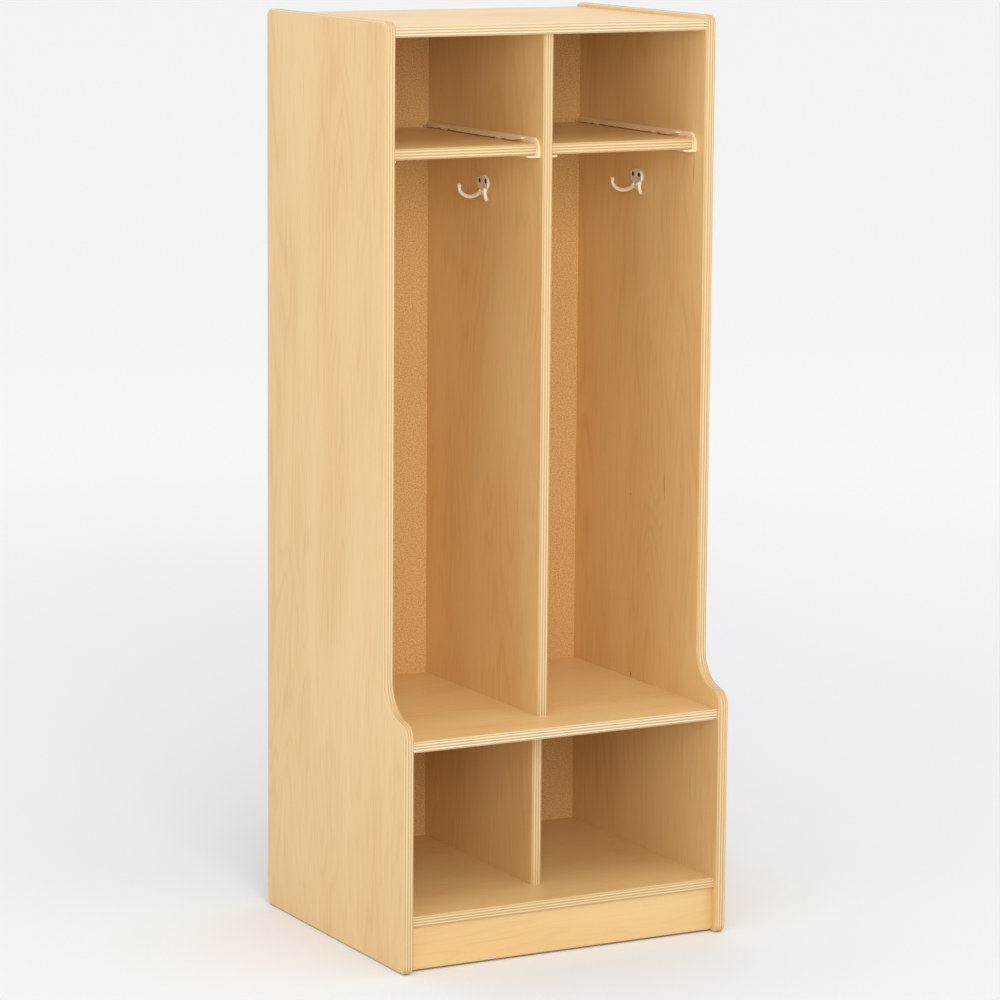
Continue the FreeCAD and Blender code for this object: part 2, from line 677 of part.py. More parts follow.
# The line of a prong: shares of its reach from the wall, of its spread and of its droop.
PRONG_BEND = [(0.26, 0.36, 0.86), (0.53, 0.70, 1.0), (0.85, 0.92, 0.84)]
PRONG_ROOT_SPREAD = 0.08
PRONG_ROOT_DROOP = 0.62


def hook_plate():
    """The pear-shaped base of a hook, flat on the wall in the YZ plane, with its two screw holes."""
    wall, half = size("dims.hook_wall"), size("dims.hook_half_width")
    crown, tail = size("dims.hook_crown"), size("dims.hook_tail")
    right = [(across * half, up * crown) for across, up in PLATE_ABOVE]
    right += [(across * half, -down * tail) for across, down in PLATE_BELOW]
    left = [(-y, z) for y, z in reversed(right)]
    around = [(0, crown)] + right + [(0, -tail)] + left
    curve = Part.BSplineCurve()
    curve.interpolate([FreeCAD.Vector(0, y, z) for y, z in around], PeriodicFlag=True)
    plate = Part.Face(Part.Wire(curve.toShape())).extrude(FreeCAD.Vector(wall, 0, 0))
    front = [edge for edge in plate.Edges if edge.BoundBox.XMin > wall - SAME_PLACE]
    plate = plate.makeFillet(size("dims.hook_edge_round"), front)
    seat = wall - size("dims.screw_head_height")
    out = FreeCAD.Vector(1, 0, 0)
    for half_spacing in (-0.5, 0.5):
        y = half_spacing * size("dims.hook_screw_spacing")
        hole = Part.makeCylinder(size(SCREW_HOLE), wall, FreeCAD.Vector(0, y, 0), out)
        head = Part.makeCylinder(size(HEAD_HOLE), wall, FreeCAD.Vector(seat, y, 0), out)
        plate = plate.cut(hole).cut(head)
    return plate


def hook_prong(side):
    """A round prong that leaves the foot of the plate sideways, droops, and curls out to a ball."""
    spread_out, reach = side * size("dims.hook_spread"), size("dims.hook_reach")
    droop, tip_drop = size("dims.hook_droop"), size("dims.hook_tip_drop")
    root_radius, tip_radius = size("dims.hook_root_radius"), size("dims.hook_tip_radius")
    # Each point is how far it stands out from the wall, along the wall, and down from the screws.
    root = (root_radius, PRONG_ROOT_SPREAD * spread_out, -PRONG_ROOT_DROOP * droop)
    bend = [(out * reach, along * spread_out, -down * droop) for out, along, down in PRONG_BEND]
    route = [root] + bend + [(reach, spread_out, -tip_drop)]
    spine = Part.BSplineCurve()
    spine.interpolate([FreeCAD.Vector(*point) for point in route])
    rings = [
        Part.Wire(Part.makeCircle(radius, spine.value(along), spine.tangent(along)[0]))
        for radius, along in (
            (root_radius, spine.FirstParameter), (tip_radius, spine.LastParameter),
        )
    ]
    prong = Part.Wire(spine.toShape()).makePipeShell(rings, True, True)
    ball = Part.makeSphere(size("dims.hook_ball_radius"), FreeCAD.Vector(*route[-1]))
    return [prong, ball]


def coat_hook(label, wall):
    """A double coat hook on the wall that stands at this place along X and faces left."""
    hook = doc.addObject("Part::Feature", label)
    hook.Label = label
    hook.Shape = hook_plate().fuse(hook_prong(-1) + hook_prong(1)).Solids[0]
    facing_left = FreeCAD.Rotation(FreeCAD.Vector(0, 0, 1), 180)
    place = FreeCAD.Vector(size(wall), size(HOOK_Y), size(HOOK_HEIGHT))
    hook.Placement = FreeCAD.Placement(place, facing_left)
    sub_parts.append(hook)


HOOK_WALLS = {"left_coat_hook": "(-dims.ply / 2)", "right_coat_hook": INNER}
for name, wall in HOOK_WALLS.items():
    coat_hook(name, wall)

# ------------------------------------------------------------------------------ dowels and screws


def pattern_dowel():
    """One dowel, standing on its own origin; the groups are copies of it."""
    body = doc.addObject("PartDesign::Body", "pattern_dowel")
    sketch = new_sketch(body, "XY_Plane")
    draw_circle(sketch, ("0", "0"), "dims.dowel_radius")
    pad(body, sketch, "dims.dowel_length")
    base = body.Tip
    chamfer = body.newObject("PartDesign::Chamfer", "dowel_ends")
    ends = [f"Edge{i}" for i, edge in enumerate(base.Shape.Edges, start=1) if edge.isClosed()]
    chamfer.Base = (base, ends)
    chamfer.setExpression("Size", "dims.dowel_radius / 4")
    body.Tip = chamfer
    doc.recompute()
    return body


def pattern_screw():
    """One screw, standing on its point, with a cross recess in its head."""
    body = doc.addObject("PartDesign::Body", "pattern_screw")
    sketch = new_sketch(body, "XZ_Plane")
    top = "(dims.screw_length + dims.screw_head_height)"
    draw_outline(sketch, [
        ("0", "0"),
        ("dims.screw_radius", "2 * dims.screw_radius"),
        ("dims.screw_radius", "dims.screw_length"),
        ("dims.screw_head_radius", "dims.screw_length"),
        ("dims.screw_head_radius", "dims.screw_length + dims.screw_head_height / 2"),
        ("dims.screw_crown_radius", top),
        ("0", top),
    ])
    turned = body.newObject("PartDesign::Revolution", "screw_turned")
    turned.Profile = sketch
    turned.ReferenceAxis = (sketch, ["V_Axis"])
    doc.recompute()
    half_width, half_length = "dims.screw_slot_width / 2", "dims.screw_head_radius / 2"
    for across, up in ((half_length, half_width), (half_width, half_length)):
        slot = new_sketch(body, "XY_Plane", top)
        draw_rectangle(slot, (f"-({across})", f"-({up})"), (across, up))
        pocket(body, slot, "dims.screw_slot_depth", -1)
    return body


def fastener_group(label, pattern, places):
    """Copies of one fastener as separate solids: each place is its foot and the way it points."""
    copies = []
    for foot, heading in places:
        copy = pattern.Shape.copy()
        turn = FreeCAD.Rotation(FreeCAD.Vector(0, 0, 1), FreeCAD.Vector(*heading))
        copy.Placement = FreeCAD.Placement(FreeCAD.Vector(*foot), turn)
        copies.append(copy)
    group = doc.addObject("Part::Feature", label)
    group.Label = label
    group.Shape = Part.makeCompound(copies)
    sub_parts.append(group)


def side_joint(places):
    """Dowels between the side panels and the ends of a board: each foot lies in a side panel."""
    foot = size(f"{INNER} + dims.dowel_in_face")
    return [
        ((side * foot, size(y), size(z)), (-side, 0, 0)) for side in (-1, 1) for y, z in places
    ]


def upright_joint(places, seam, into_upper):
    """Dowels across a level seam; the end that lies in the board's face is above it or below it."""
    foot = size(f"{seam} + dims.dowel_in_face" if into_upper else f"{seam} - dims.dowel_in_face")
    heading = (0, 0, -1) if into_upper else (0, 0, 1)
    return [((size(x), size(y), foot), heading) for x, y in places]


def screwed(wall, heading, under_head, places):
    """Screws whose heads face along `heading` in X, from a wall and the thickness under their heads."""
    foot = size(f"{wall} + ({heading}) * ({under_head} - dims.screw_length)")
    return [((foot, size(y), size(z)), (heading, 0, 0)) for y, z in places]


dowel = pattern_dowel()
fastener_group("top_panel_dowels", dowel, side_joint(TOP_DOWELS))
fastener_group("seat_shelf_dowels", dowel, side_joint(SEAT_DOWELS))
fastener_group("bottom_shelf_dowels", dowel, side_joint(BOTTOM_DOWELS))
fastener_group("kick_plate_dowels", dowel, side_joint(BASE_DOWELS[:2]))
fastener_group("rear_base_rail_dowels", dowel, side_joint(BASE_DOWELS[2:]))
fastener_group(
    "upper_divider_dowels",
    dowel,
    upright_joint(UPPER_DIVIDER_DOWELS, TOP_UNDERSIDE, True)
    + upright_joint(UPPER_DIVIDER_DOWELS, "dims.seat_height", False),
)
fastener_group(
    "lower_divider_dowels",
    dowel,
    upright_joint(LOWER_DIVIDER_DOWELS, SEAT_UNDERSIDE, True)
    + upright_joint(LOWER_DIVIDER_DOWELS, "dims.bottom_shelf_height", False),
)

screw = pattern_screw()
rail_places = []
for wall, side, screws in RAILS.values():
    rail_places += screwed(wall, side, "(dims.rail_web - dims.screw_head_height)", screws)
fastener_group("shelf_rail_screws", screw, rail_places)
hook_places = []
for wall in HOOK_WALLS.values():
    hook_places += screwed(wall, -1, "(dims.hook_wall - dims.screw_head_height)", HOOK_SCREWS)
fastener_group("coat_hook_screws", screw, hook_places)
back_foot = size(f"{BACK_PANEL_FACE} + dims.back_ply - dims.screw_length")
back_places = [((size(x), back_foot, size(z)), (0, 1, 0)) for x, z in BACK_SCREWS]
fastener_group("back_panel_screws", screw, back_places)

# ------------------------------------------------------------------------------- check and write

doc.recompute()
for item in doc.Objects:
    if "Invalid" in item.State or "Error" in item.State:
        raise ValueError(f"{item.Label} failed: {item.State}")
for piece in sub_parts:
    if piece.Shape.isNull() or not piece.Shape.isValid() or not piece.Shape.Solids:
        raise ValueError(f"{piece.Label} has no valid solid")

os.makedirs("parts", exist_ok=True)
for piece in sub_parts:
    piece.Shape.exportStep(f"parts/{piece.Label}.step")
    print(f"{piece.Label}: {len(piece.Shape.Solids)} solid(s), {piece.Shape.Volume / 1000:.2f} cm3")
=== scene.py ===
import json
import math

import bmesh
import bpy
from mathutils import Matrix, Vector

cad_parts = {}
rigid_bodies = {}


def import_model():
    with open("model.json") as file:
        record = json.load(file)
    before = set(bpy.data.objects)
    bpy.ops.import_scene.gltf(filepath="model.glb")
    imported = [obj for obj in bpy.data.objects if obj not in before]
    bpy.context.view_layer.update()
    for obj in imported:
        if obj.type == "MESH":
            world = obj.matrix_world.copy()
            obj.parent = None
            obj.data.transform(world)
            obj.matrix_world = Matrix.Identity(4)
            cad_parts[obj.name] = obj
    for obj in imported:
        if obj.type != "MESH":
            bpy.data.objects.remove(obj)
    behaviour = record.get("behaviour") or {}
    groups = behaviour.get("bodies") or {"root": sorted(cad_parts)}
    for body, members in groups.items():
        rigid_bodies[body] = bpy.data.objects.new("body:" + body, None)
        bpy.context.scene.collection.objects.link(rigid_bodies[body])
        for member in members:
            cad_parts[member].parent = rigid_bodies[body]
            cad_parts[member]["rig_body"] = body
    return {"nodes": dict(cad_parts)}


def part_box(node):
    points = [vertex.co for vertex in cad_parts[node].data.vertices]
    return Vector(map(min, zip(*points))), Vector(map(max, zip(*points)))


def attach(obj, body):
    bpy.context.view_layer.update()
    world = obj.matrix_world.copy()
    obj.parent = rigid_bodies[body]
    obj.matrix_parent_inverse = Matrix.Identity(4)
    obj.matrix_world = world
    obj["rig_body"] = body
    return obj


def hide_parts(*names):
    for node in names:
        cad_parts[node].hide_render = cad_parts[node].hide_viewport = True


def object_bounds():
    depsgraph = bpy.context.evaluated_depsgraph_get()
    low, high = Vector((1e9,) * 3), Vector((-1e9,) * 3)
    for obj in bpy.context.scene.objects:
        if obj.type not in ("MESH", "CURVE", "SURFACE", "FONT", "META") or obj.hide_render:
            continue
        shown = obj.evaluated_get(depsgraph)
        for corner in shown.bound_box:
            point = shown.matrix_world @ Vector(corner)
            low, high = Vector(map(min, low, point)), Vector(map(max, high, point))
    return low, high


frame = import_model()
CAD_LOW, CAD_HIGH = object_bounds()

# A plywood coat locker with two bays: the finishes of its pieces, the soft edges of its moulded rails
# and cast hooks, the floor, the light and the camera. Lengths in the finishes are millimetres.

MM = 0.001
X, Y, Z = 0, 1, 2

# The sockets of a Mix node that mixes colours.
MIX_FACTOR, MIX_FIRST, MIX_SECOND, MIX_RESULT = 0, 6, 7, 2
STOPS_OF_A_NEW_RAMP = 2

# --------------------------------------------------------------------------- the shader's language


def paint(red, green, blue):
    """A colour as a paint chart gives it, 0 to 255, as the shader wants it."""
    def linear(value):
        share = value / 255
        return share / 12.92 if share <= 0.04045 else ((share + 0.055) / 1.055) ** 2.4
    return (linear(red), linear(green), linear(blue), 1.0)


class Field:
    """A value that changes over a surface, with Python's arithmetic on it."""

    def __init__(self, finish, socket):
        self.finish = finish
        self.socket = socket

    def maths(self, operation, *values):
        return self.finish.node("Math", {"operation": operation}, dict(enumerate(values)))

    def __add__(self, other):
        return self.maths("ADD", self, other)

    __radd__ = __add__

    def __sub__(self, other):
        return self.maths("SUBTRACT", self, other)

    def __rsub__(self, other):
        return self.maths("SUBTRACT", other, self)

    def __mul__(self, other):
        return self.maths("MULTIPLY", self, other)

    __rmul__ = __mul__

    def __truediv__(self, other):
        return self.maths("DIVIDE", self, other)

    def __rtruediv__(self, other):
        return self.maths("DIVIDE", other, self)

    def __pow__(self, other):
        return self.maths("POWER", self, other)

    def __rpow__(self, other):
        return self.maths("POWER", other, self)

    def __mod__(self, other):
        return self.maths("FLOORED_MODULO", self, other)

    def __rmod__(self, other):
        return self.maths("FLOORED_MODULO", other, self)

    def __abs__(self):
        return self.maths("ABSOLUTE", self)

    def __gt__(self, other):
        return self.maths("GREATER_THAN", self, other)

    def __lt__(self, other):
        return self.maths("LESS_THAN", self, other)

    def floor(self):
        return self.maths("FLOOR", self)

    def wave(self):
        """From 0 to 1 and back, once for each whole number."""
        return self.maths("SINE", self * math.tau) * 0.5 + 0.5

    def ramp(self, low, high):
        """0 at low and below, 1 at high and above, smooth between them; low may be the larger."""
        settings = {"interpolation_type": "SMOOTHSTEP", "clamp": True}
        limits = {"From Min": low, "From Max": high, "To Min": 0.0, "To Max": 1.0}
        return self.finish.node("MapRange", settings, {"Value": self, **limits})


class Finish:
    """A node material being mixed. Its sizes are millimetres in the locker's own frame."""

    def __init__(self, name):
        self.material = bpy.data.materials.new(name)
        self.material.use_nodes = True
        self.tree = self.material.node_tree
        self.shader = self.tree.nodes["Principled BSDF"]

    def node(self, kind, settings=None, values=None, out=0):
        """A node: first its settings, a ramp's stops among them, then its sockets' values or links."""
        node = self.tree.nodes.new("ShaderNode" + kind)
        settings = dict(settings or {})
        stops = settings.pop("stops", [])
        for name, value in settings.items():
            setattr(node, name, value)
        for index, (place, colour) in enumerate(stops):
            held = node.color_ramp.elements
            stop = held[index] if index < STOPS_OF_A_NEW_RAMP else held.new(place)
            stop.position, stop.color = place, colour
        for key, value in (values or {}).items():
            self.feed(node.inputs[key], value)
        return Field(self, node.outputs[out])

    def feed(self, socket, value):
        if isinstance(value, Field):
            self.tree.links.new(value.socket, socket)
        else:
            socket.default_value = value

    def axes(self):
        """The surface's place along X, Y and Z in millimetres."""
        place = self.node("TexCoord", out="Object")
        return [self.node("SeparateXYZ", values={0: place}, out=axis) * (1 / MM) for axis in "XYZ"]

    def facing(self):
        """How squarely the surface faces along X, Y and Z, from 0 to 1."""
        normal = self.node("NewGeometry", out="Normal")
        return [abs(self.node("SeparateXYZ", values={0: normal}, out=axis)) for axis in "XYZ"]

    def stretch(self, lengths, steps, shift=0.0):
        """The place with each length divided by its own step, for a pattern that runs one way."""
        parts = [length * (1 / step) + shift for length, step in zip(lengths, steps)]
        return self.node("CombineXYZ", values=dict(enumerate(parts)))

    def noise(self, place, detail=2.0, roughness=0.5, distortion=0.0):
        values = {
            "Vector": place, "Scale": 1.0, "Detail": detail,
            "Roughness": roughness, "Distortion": distortion,
        }
        return self.node("TexNoise", values=values)

    def spots(self, place, radius, share):
        """Round spots in the stretched place: one in some of its cells, soft at the rim."""
        cell = {"Vector": place, "Scale": 1.0, "Randomness": 0.9}
        away = self.node("TexVoronoi", values=cell, out="Distance")
        draw = self.node("TexVoronoi", values=cell, out="Color")
        chosen = self.node("SeparateColor", values={0: draw}, out=0) < share
        return away.ramp(radius, radius * 0.4) * chosen

    def mix(self, factor, first, second):
        """The first colour where the factor is 0, the second where it is 1."""
        settings = {"data_type": "RGBA", "clamp_factor": True}
        values = {MIX_FACTOR: factor, MIX_FIRST: first, MIX_SECOND: second}
        return self.node("Mix", settings, values, MIX_RESULT)

    def between(self, factor, first, second):
        """The first value where the factor is 0, the second where it is 1."""
        return first + (second - first) * factor

    def tone(self, colour, amount):
        """The colour made lighter or darker by an amount near 1."""
        grey = self.node("CombineColor", values={0: amount, 1: amount, 2: amount})
        settings = {"data_type": "RGBA", "blend_type": "MULTIPLY"}
        values = {MIX_FACTOR: 1.0, MIX_FIRST: colour, MIX_SECOND: grey}
        return self.node("Mix", settings, values, MIX_RESULT)

    def bump(self, height, depth):
        """Relief: height runs from 0 to 1, and depth is how deep that is in millimetres."""
        values = {"Strength": 1.0, "Distance": depth * MM, "Height": height}
        self.surface(Normal=self.node("Bump", values=values, out="Normal"))

    def surface(self, **values):
        """Sets or links the shader's own sockets."""
        for name, value in values.items():
            self.feed(self.shader.inputs[name.replace("_", " ")], value)


# ------------------------------------------------------------------------------------------ plywood

VENEER = 0.75
INNER_PLIES = 7
GLUE_WANDER = 0.35
SAPWOOD = paint(228, 195, 139)
ROSY_WOOD = paint(224, 187, 129)
FIBRE_BROWN = paint(190, 142, 88)
MINERAL_BROWN = paint(112, 70, 38)
EDGE_LIGHT = paint(222, 200, 156)
EDGE_PALE = paint(226, 214, 184)
EDGE_DARK = paint(188, 142, 88)
GLUE_LINE = paint(128, 78, 40)
CORE_VOID = paint(84, 50, 26)


def plywood(
    name, node, thick, grain, seed, streaks=0.0, shade=1.0, figured=1.0, edge_light=EDGE_LIGHT,
):
    """Lacquered birch plywood for one board.

    thick and grain are the axes, 0 to 2, of its thickness and of its face grain. Its plies are there
    right through the board, so that they show wherever an edge is cut or rounded. streaks is the
    share of mineral streaks in its face, shade its tone near 1, figured how strong its figure is,
    and edge_light the colour of its edge's pale plies.
    """
    finish = Finish(name)
    low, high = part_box(node)
    across = X + Y + Z - thick - grain
    places, faces = finish.axes(), finish.facing()
    thickness = (high[thick] - low[thick]) / MM
    pitch = (thickness - 2 * VENEER) / INNER_PLIES

    # The plies. The glue lines wander a little, as if the veneers were not quite even.
    run = [places[grain], places[across], places[thick]]
    wander = finish.noise(finish.stretch(run, (150, 150, 400), seed), detail=1.0) - 0.5
    depth = places[thick] - low[thick] / MM + wander * GLUE_WANDER
    inside = (depth > VENEER) * (depth < thickness - VENEER)
    counted = (depth - VENEER) / pitch
    ply = counted.floor()
    crossed = (1 - ply % 2.0) * inside
    seam = abs(counted % 1.0 - 0.5).ramp(0.40, 0.49) * inside
    along = finish.between(crossed, places[grain], places[across])
    beside = finish.between(crossed, places[across], places[grain])
    cut_across = finish.between(crossed, faces[grain], faces[across])
    on_face = faces[thick].ramp(0.90, 0.985)

    # The face veneer: broad tone, peeled figure, fibres, short flecks and mineral streaks.
    cloud = finish.noise(finish.stretch(run, (420, 95, 400), seed + 3), detail=1.0)
    peel = finish.noise(finish.stretch(run, (520, 74, 400), seed + 7), detail=1.5, distortion=0.35)
    figure = ((peel * 15.0).wave() ** 5) * cloud.ramp(0.38, 0.62)
    strands = finish.noise(
        finish.stretch(run, (64, 3.0, 400), seed + 5), detail=2.5, roughness=0.6, distortion=0.25,
    )
    fibres = finish.noise(finish.stretch((along, beside, depth), (48, 0.85, 0.6), seed), detail=3.0)
    flecks = finish.spots(finish.stretch(run, (30, 1.5, 400), seed + 11), 0.22, 0.16)
    colour = finish.mix(cloud.ramp(0.3, 0.7), SAPWOOD, ROSY_WOOD)
    colour = finish.mix(figure * (0.17 * figured), colour, FIBRE_BROWN)
    colour = finish.mix(strands.ramp(0.48, 0.80) * (0.27 * figured), colour, FIBRE_BROWN)
    colour = finish.mix(flecks * 0.20, colour, FIBRE_BROWN)
    if streaks:
        bend = finish.noise(finish.stretch(run, (60, 60, 400), seed + 13), detail=0.0) - 0.5
        bent = [run[0], run[1] + bend * 9.0, run[2]]
        streak = finish.spots(finish.stretch(bent, (420, 15, 4000), seed + 17), 0.075, streaks)
        knot = finish.spots(finish.stretch(bent, (92, 44, 4000), seed + 19), 0.055, streaks)
        colour = finish.mix(streak * 0.75, colour, MINERAL_BROWN)
        colour = finish.mix(knot * 0.9, colour, MINERAL_BROWN)

    # The edges: pale where a ply is cut along its grain, brown where it is cut across.
    pores = finish.noise(finish.stretch((places[grain], places[across], depth), (1.1, 1.1, 0.5)))
    sheet = finish.noise(finish.stretch((ply, places[grain], places[across]), (0.37, 600, 600), seed))
    edge = finish.mix(cut_across * (0.55 + pores * 0.5), edge_light, EDGE_DARK)
    edge = finish.tone(edge, 0.86 + sheet * 0.22)
    edge = finish.mix(seam * (0.08 + sheet.ramp(0.35, 0.65) * 0.6), edge, GLUE_LINE)
    void = finish.spots(finish.stretch(run, (26, 26, 2.2), seed + 23), 0.10, 0.10)
    edge = finish.mix(void * crossed, edge, CORE_VOID)
    colour = finish.mix(on_face, edge, colour)
    colour = finish.tone(colour, (0.955 + fibres * 0.09) * shade)

    finish.surface(
        Base_Color=colour,
        Roughness=0.36 + fibres * 0.14,
        Specular_IOR_Level=0.38,
        Coat_Weight=0.14,
        Coat_Roughness=0.24,
    )
    finish.bump(fibres * 0.7 + seam * 0.3, 0.035)
    return finish.material


# ------------------------------------------------------------------------------ the other finishes


def fibreboard():
    """Smooth-faced hardboard for the back: pressed wood fibres lying every way, seen as fine specks."""
    finish = Finish("fibreboard")
    places = finish.axes()
    specks = finish.noise(finish.stretch(places, (1.9, 1.9, 1.9)), detail=3.0, roughness=0.7)
    fibres = finish.noise(finish.stretch(places, (4.5, 4.5, 1.4), 5.0), detail=2.0, distortion=1.6)
    cloud = finish.noise(finish.stretch(places, (150, 150, 150), 9.0), detail=1.0)
    chips = finish.spots(finish.stretch(places, (5.5, 5.5, 5.5), 2.0), 0.20, 0.25)
    pressed = [
        (0.34, paint(234, 198, 142)), (0.44, paint(222, 182, 122)),
        (0.58, paint(200, 156, 98)), (0.70, paint(172, 124, 72)),
    ]
    colour = finish.node("ValToRGB", {"stops": pressed}, {0: specks})
    colour = finish.mix(fibres.ramp(0.52, 0.70) * 0.35, colour, paint(232, 198, 142))
    colour = finish.mix(chips * 0.35, colour, paint(148, 104, 60))
    colour = finish.tone(colour, 0.95 + cloud * 0.10)
    finish.surface(Base_Color=colour, Roughness=0.50 + specks * 0.16, Specular_IOR_Level=0.35)
    finish.bump(specks * 0.6 + fibres * 0.4, 0.05)
    return finish.material


def moulded_plastic():
    """Tan moulded plastic with a fine spark-eroded grain, the faint flow of the mould and streaks of
    painted sheen.
    """
    finish = Finish("moulded_plastic")
    places = finish.axes()
    grain = finish.noise(finish.stretch(places, (0.45, 0.45, 0.45)), detail=2.0)
    flow = finish.noise(finish.stretch(places, (9, 60, 9), 4.0), detail=1.5, distortion=0.8)
    # Painted sheen: paler cream streaks that run along the rail.
    painted_sheen = finish.noise(finish.stretch(places, (3, 14, 3), 8.0), detail=3.0).ramp(0.55, 0.75)
    colour = finish.mix(flow.ramp(0.35, 0.7), paint(244, 221, 182), paint(236, 206, 164))
    colour = finish.mix(painted_sheen * 0.35, colour, paint(250, 234, 204))
    finish.surface(
        Base_Color=colour,
        Roughness=0.34 + grain * 0.12,
        Specular_IOR_Level=0.5,
    )
    finish.bump(grain, 0.02)
    return finish.material


def ivory_enamel():
    """Baked ivory enamel over a casting: glossy, slightly uneven, greyed by painted shade on the
    plate's flat.
    """
    finish = Finish("ivory_enamel")
    places, faces = finish.axes(), finish.facing()
    peel = finish.noise(finish.stretch(places, (2.6, 2.6, 2.6)), detail=1.0)
    cloud = finish.noise(finish.stretch(places, (14, 14, 14), 6.0), detail=2.0)
    dust = finish.spots(finish.stretch(places, (3.4, 3.4, 3.4), 3.0), 0.09, 0.10)
    colour = finish.mix(cloud.ramp(0.3, 0.7), paint(254, 249, 234), paint(250, 240, 216))
    # Painted shade: flats that face along X, the plate's face among them, are greyed.
    colour = finish.mix(faces[X].ramp(0.95, 0.995) * 0.8, colour, paint(204, 206, 196))
    colour = finish.mix(dust * 0.5, colour, paint(190, 168, 128))
    finish.surface(
        Base_Color=colour,
        Roughness=0.20 + cloud * 0.14,
        Coat_Weight=0.5,
        Coat_Roughness=0.08,
    )
    finish.bump(peel, 0.03)
    return finish.material


def screw_steel(name, bright, dull, roughness):
    """Plated steel: a clouded plating with fine scratches that run from front to back."""
    finish = Finish(name)
    places = finish.axes()
    cloud = finish.noise(finish.stretch(places, (2.2, 2.2, 2.2)), detail=3.0, roughness=0.6)
    scratches = finish.noise(finish.stretch(places, (0.25, 2.4, 0.25), 7.0), detail=2.0)
    colour = finish.mix(cloud.ramp(0.35, 0.68), bright, dull)
    finish.surface(
        Base_Color=finish.tone(colour, 0.9 + scratches * 0.2),
        Roughness=roughness + cloud * 0.16,
        Metallic=1.0,
    )
    finish.bump(scratches, 0.01)
    return finish.material


def dowel_wood():
    """Bare beech: rosy, with the short brown flecks of its rays."""
    finish = Finish("dowel_wood")
    places = finish.axes()
    fibres = finish.noise(finish.stretch(places, (0.8, 0.8, 0.8)), detail=3.0)
    rays = finish.spots(finish.stretch(places, (1.2, 1.2, 1.2), 5.0), 0.25, 0.5)
    colour = finish.mix(fibres.ramp(0.3, 0.7), paint(224, 184, 140), paint(208, 162, 118))
    colour = finish.mix(rays * 0.4, colour, paint(160, 108, 70))
    finish.surface(Base_Color=colour, Roughness=0.60 + fibres * 0.15)
    finish.bump(fibres, 0.06)
    return finish.material


# ------------------------------------------------------------------------- finishes on the pieces

MERGE_WITHIN = 0.005 * MM
CASTING_VOXEL = 0.42 * MM
MOULD_ROUND = 0.35 * MM
SHARP_EDGE = math.radians(30)


def blank_of(node):
    """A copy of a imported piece's mesh as one closed skin, to be worked on."""
    blank = bmesh.new()
    blank.from_mesh(frame["nodes"][node].data)
    bmesh.ops.remove_doubles(blank, verts=blank.verts, dist=MERGE_WITHIN)
    bmesh.ops.recalc_face_normals(blank, faces=blank.faces)
    return blank


def finished(blank, name, node, material, modifiers):
    """Makes a worked blank into the piece that stands for an imported one, with its modifiers applied.
    """
    mesh = bpy.data.meshes.new(name)
    blank.to_mesh(mesh)
    blank.free()
    piece = bpy.data.objects.new(name, mesh)
    bpy.context.scene.collection.objects.link(piece)
    for kind, settings in modifiers:
        modifier = piece.modifiers.new(kind.lower(), kind)
        for setting, value in settings.items():
            setattr(modifier, setting, value)
    bpy.context.view_layer.update()
    worked = piece.evaluated_get(bpy.context.evaluated_depsgraph_get())
    piece.data = bpy.data.meshes.new_from_object(worked)
    piece.modifiers.clear()
    piece.data.materials.clear()
    piece.data.materials.append(material)
    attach(piece, frame["nodes"][node]["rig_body"])
    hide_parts(node)
    return piece


def cast_hook(node, material):
    """The hook as it leaves its mould: the prongs and the plate run into each other softly."""
    casting = {"mode": "VOXEL", "voxel_size": CASTING_VOXEL, "use_smooth_shade": True}
    fettling = {"factor": 0.5, "iterations": 3}
    finished(
        blank_of(node), f"{node}_casting", node, material,
        [("REMESH", casting), ("SMOOTH", fettling)],
    )


def moulded_rail(node, material):
    """The rail as it leaves its mould, with a small round on every edge."""
    rounds = {
        "width": MOULD_ROUND, "segments": 2, "limit_method": "ANGLE",
        "angle_limit": SHARP_EDGE, "harden_normals": False,
    }
    rail = finished(
        blank_of(node), f"{node}_moulding", node, material, [("BEVEL", rounds)],
    )
    rail.data.shade_smooth()


# Each board: the axis of its thickness, the axis of its face grain, its seed and what sets it apart.
BOARDS = {
    "left_side_panel": (X, Z, 3.1, {}),
    "right_side_panel": (X, Z, 41.7, {"streaks": 0.30}),
    "top_panel": (Z, X, 12.4, {"edge_light": EDGE_PALE}),
    "upper_divider": (X, Z, 57.9, {}),
    "lower_divider": (X, Z, 23.6, {}),
    "seat_shelf": (Z, X, 71.2, {"edge_light": EDGE_PALE}),
    "bottom_shelf": (Z, X, 35.5, {}),
    "kick_plate": (Y, X, 64.8, {"shade": 0.94, "figured": 0.5}),
    "rear_base_rail": (Y, X, 18.3, {"streaks": 0.03}),
    "left_cubby_shelf": (Z, X, 81.9, {}),
    "right_cubby_shelf": (Z, X, 92.6, {}),
}


def dress(node, material):
    """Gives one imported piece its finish."""
    slots = frame["nodes"][node].data.materials
    slots.clear()
    slots.append(material)


for board, (thick, grain, seed, traits) in BOARDS.items():
    dress(board, plywood(f"plywood_{board}", board, thick, grain, seed, **traits))

PLASTIC = moulded_plastic()
ENAMEL = ivory_enamel()
ZINC = screw_steel("zinc_plated_steel", paint(214, 214, 208), paint(182, 184, 176), 0.26)
BRONZED = screw_steel("bronzed_steel", paint(96, 78, 60), paint(62, 50, 40), 0.34)
BEECH = dowel_wood()
dress("back_panel", fibreboard())
for rail in ("left_bay_outer", "left_bay_inner", "right_bay_inner", "right_bay_outer"):
    moulded_rail(f"{rail}_rail", PLASTIC)
for bay in ("left", "right"):
    cast_hook(f"{bay}_coat_hook", ENAMEL)
for screws in ("shelf_rail_screws", "back_panel_screws"):
    dress(screws, ZINC)
dress("coat_hook_screws", BRONZED)
for joint in (
    "top_panel", "seat_shelf", "bottom_shelf", "kick_plate", "rear_base_rail",
    "upper_divider", "lower_divider",
):
    dress(f"{joint}_dowels", BEECH)

# --------------------------------------------------------------------------- floor, light, camera


FLOOR_RADIUS = 60.0


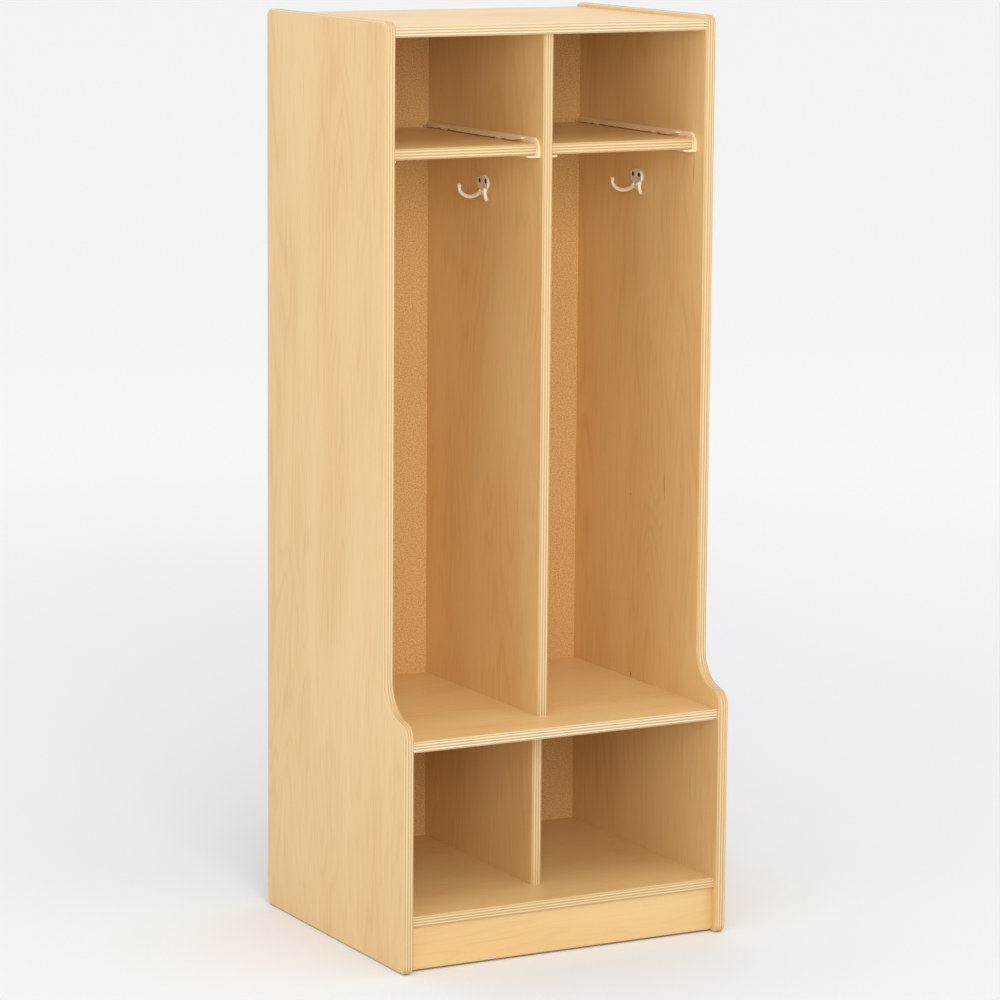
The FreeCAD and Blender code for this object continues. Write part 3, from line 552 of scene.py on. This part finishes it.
def pale_floor():
    """A matt white studio floor, far larger than the view, with painted shadow near the locker."""
    made = bmesh.new()
    bmesh.ops.create_circle(made, cap_ends=True, segments=96, radius=FLOOR_RADIUS)
    mesh = bpy.data.meshes.new("studio_floor")
    made.to_mesh(mesh)
    made.free()
    floor = bpy.data.objects.new("studio_floor", mesh)
    bpy.context.scene.collection.objects.link(floor)
    finish = Finish("studio_floor")
    places = finish.axes()
    away = (places[X] ** 2 + places[Y] ** 2) ** 0.5
    sweep = finish.noise(finish.stretch(places, (900, 900, 900)), detail=2.0) * 0.1
    # Painted shadow: the floor is a darker bluish grey near the locker, paling to white from 0.5 m to 5
    # m out.
    colour = finish.mix(away.ramp(500, 5000) + sweep, paint(226, 228, 232), paint(250, 250, 250))
    finish.surface(Base_Color=colour, Roughness=0.9, Specular_IOR_Level=0.1)
    mesh.materials.append(finish.material)


def softbox(name, place, target, size, power, colour):
    """A square studio softbox turned towards its target."""
    light = bpy.data.lights.new(name, "AREA")
    light.shape, light.size = "SQUARE", size
    light.energy, light.color = power, colour
    lamp = bpy.data.objects.new(name, light)
    lamp.location = place
    lamp.rotation_mode = "QUATERNION"
    lamp.rotation_quaternion = (Vector(target) - Vector(place)).to_track_quat("-Z", "Y")
    bpy.context.scene.collection.objects.link(lamp)


def room_light(colour, strength):
    """Even light from all round."""
    world = bpy.data.worlds.new("studio_room")
    world.use_nodes = True
    background = world.node_tree.nodes["Background"]
    background.inputs["Color"].default_value = (*colour, 1.0)
    background.inputs["Strength"].default_value = strength
    bpy.context.scene.world = world


def studio_camera(place, azimuth, elevation, roll, lens):
    """A camera that looks along the azimuth and the elevation, in degrees, with a little roll."""
    turn, tilt = math.radians(azimuth), math.radians(elevation)
    back = Vector((
        math.sin(turn) * math.cos(tilt), -math.cos(turn) * math.cos(tilt), math.sin(tilt),
    ))
    right = (-back).cross(Vector((0, 0, 1))).normalized()
    up = right.cross(-back)
    facing = Matrix((right, up, back)).transposed()
    data = bpy.data.cameras.new("studio_camera")
    data.lens, data.sensor_width = lens, 36.0
    data.clip_start, data.clip_end = 0.1, 200.0
    camera = bpy.data.objects.new("studio_camera", data)
    camera.rotation_mode = "QUATERNION"
    camera.rotation_quaternion = (
        facing @ Matrix.Rotation(math.radians(roll), 3, "Z")
    ).to_quaternion()
    camera.location = place
    bpy.context.scene.collection.objects.link(camera)
    bpy.context.scene.camera = camera


MIDDLE = (CAD_LOW + CAD_HIGH) / 2
pale_floor()
room_light(colour=(1.0, 1.0, 1.0), strength=0.93)
softbox(
    "overhead_softbox", place=(-0.6, -1.4, 4.2), target=MIDDLE, size=2.4, power=30.0,
    colour=(1.0, 0.97, 0.90),
)
softbox(
    "front_softbox", place=(-1.6, -4.5, 2.2), target=MIDDLE, size=2.2, power=98.0,
    colour=(1.0, 0.93, 0.79),
)
studio_camera(
    place=(-2.8372, -5.2478, 1.6043), azimuth=-28.439, elevation=9.524, roll=0.457, lens=155.38,
)
bpy.context.scene.view_settings.view_transform = "Standard"
